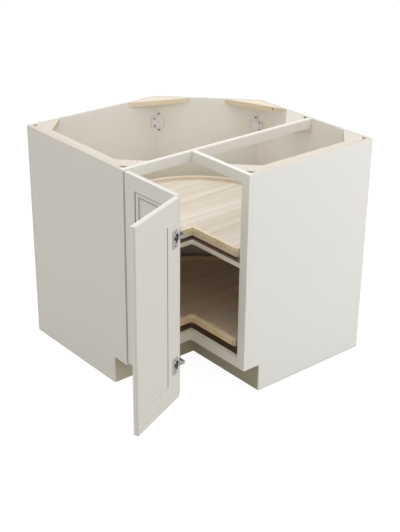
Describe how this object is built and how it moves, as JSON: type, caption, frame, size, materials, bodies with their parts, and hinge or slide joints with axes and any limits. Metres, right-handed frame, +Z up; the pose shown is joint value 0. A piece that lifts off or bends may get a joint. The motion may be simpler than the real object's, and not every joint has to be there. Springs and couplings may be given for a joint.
{
  "type": "corner carousel cabinet",
  "caption": "L-shaped corner base cabinet with an open top, a folding door on the left stile, a fixed shelf and turning pie-cut trays.",
  "frame": {"origin": "middle of the whole object's footprint with the door open, at ground level", "axes": "+X along the left leg's face frame towards the right-hand wall, +Y from the right leg's end panel towards the left leg's wall, +Z up"},
  "size_m": [1.173, 1.0174, 0.8763],
  "materials": {
    "cream_paint": "cream paint on wood, satin, with a brown glaze wiped into the moulding lines",
    "raw_plywood": "unpainted birch plywood with layered edges",
    "clear_maple": "pale maple veneer under clear satin lacquer",
    "toe_paint": "the cabinet's paint, in shade, on thin board",
    "nickel_steel": "nickel-plated steel",
    "bracket_steel": "pale zinc-plated sheet",
    "dark_screw_steel": "dark phosphated steel"
  },
  "bodies": {
    "cabinet": {"left_end_panel": "cream_paint", "right_end_panel": "cream_paint", "left_back_panel": "raw_plywood", "right_back_panel": "raw_plywood", "diagonal_back_panel": "raw_plywood", "floor_panel": "clear_maple", "fixed_shelf": "clear_maple", "left_stile": "cream_paint", "right_stile": "cream_paint", "long_top_rail": "cream_paint", "short_top_rail": "cream_paint", "left_bottom_rail": "cream_paint", "right_bottom_rail": "cream_paint", "left_toe_board": "toe_paint", "right_toe_board": "toe_paint", "left_top_batten": "raw_plywood", "right_top_batten": "raw_plywood", "corner_blocks": "raw_plywood", "obtuse_blocks": "raw_plywood", "pocket_screw": "dark_screw_steel", "stretcher_cleat": "raw_plywood", "corner_brackets": "bracket_steel", "bracket_screws": "dark_screw_steel", "lower_riser": "clear_maple", "upper_bearing_base": "nickel_steel", "lower_bearing_base": "nickel_steel", "bearing_base_screws": "nickel_steel", "main_hinge_arms": "nickel_steel", "main_hinge_arm_screws": "nickel_steel"},
    "first_leaf": {"hinge_stile": "cream_paint", "fold_stile": "cream_paint", "first_leaf_top_rail": "cream_paint", "first_leaf_bottom_rail": "cream_paint", "first_leaf_panel": "cream_paint", "main_hinge_cups": "nickel_steel", "main_hinge_pins": "nickel_steel", "main_hinge_cup_screws": "nickel_steel", "fold_hinge_arms": "nickel_steel", "fold_hinge_arm_screws": "nickel_steel"},
    "second_leaf": {"joint_stile": "cream_paint", "free_stile": "cream_paint", "second_leaf_top_rail": "cream_paint", "second_leaf_bottom_rail": "cream_paint", "second_leaf_panel": "cream_paint", "fold_hinge_cups": "nickel_steel", "fold_hinge_pins": "nickel_steel", "fold_hinge_cup_screws": "nickel_steel"},
    "upper_tray": {"upper_tray_board": "clear_maple", "upper_tray_rim": "clear_maple", "upper_tray_lips": "clear_maple", "upper_bearing_ring": "nickel_steel", "upper_bearing_balls": "nickel_steel", "upper_ring_screws": "nickel_steel"},
    "lower_tray": {"lower_tray_board": "clear_maple", "lower_tray_rim": "clear_maple", "lower_tray_lips": "clear_maple", "lower_bearing_ring": "nickel_steel", "lower_bearing_balls": "nickel_steel", "lower_ring_screws": "nickel_steel"}
  },
  "joints": [
    {"name": "door_swing", "type": "hinge", "parent": "cabinet", "child": "first_leaf", "pos_m": [-0.31691, -0.11492, 0.49725], "axis": [0, 0, 1], "range_deg": [-4, 90]},
    {"name": "leaf_fold", "type": "hinge", "parent": "first_leaf", "child": "second_leaf", "pos_m": [-0.33341, -0.39472, 0.49725], "axis": [0, 0, 1], "range_deg": [-22.6, 1.1]},
    {"name": "upper_tray_spin", "type": "hinge", "parent": "cabinet", "child": "upper_tray", "pos_m": [0.11909, 0.04128, 0.53], "axis": [0, 0, 1], "range_deg": [-360, 360]},
    {"name": "lower_tray_spin", "type": "hinge", "parent": "cabinet", "child": "lower_tray", "pos_m": [0.11909, 0.04128, 0.1644], "axis": [0, 0, 1], "range_deg": [-360, 360]}
  ],
  "couplings": [
    {"joint": "leaf_fold", "follows": "door_swing", "ratio": -0.2511}
  ]
}
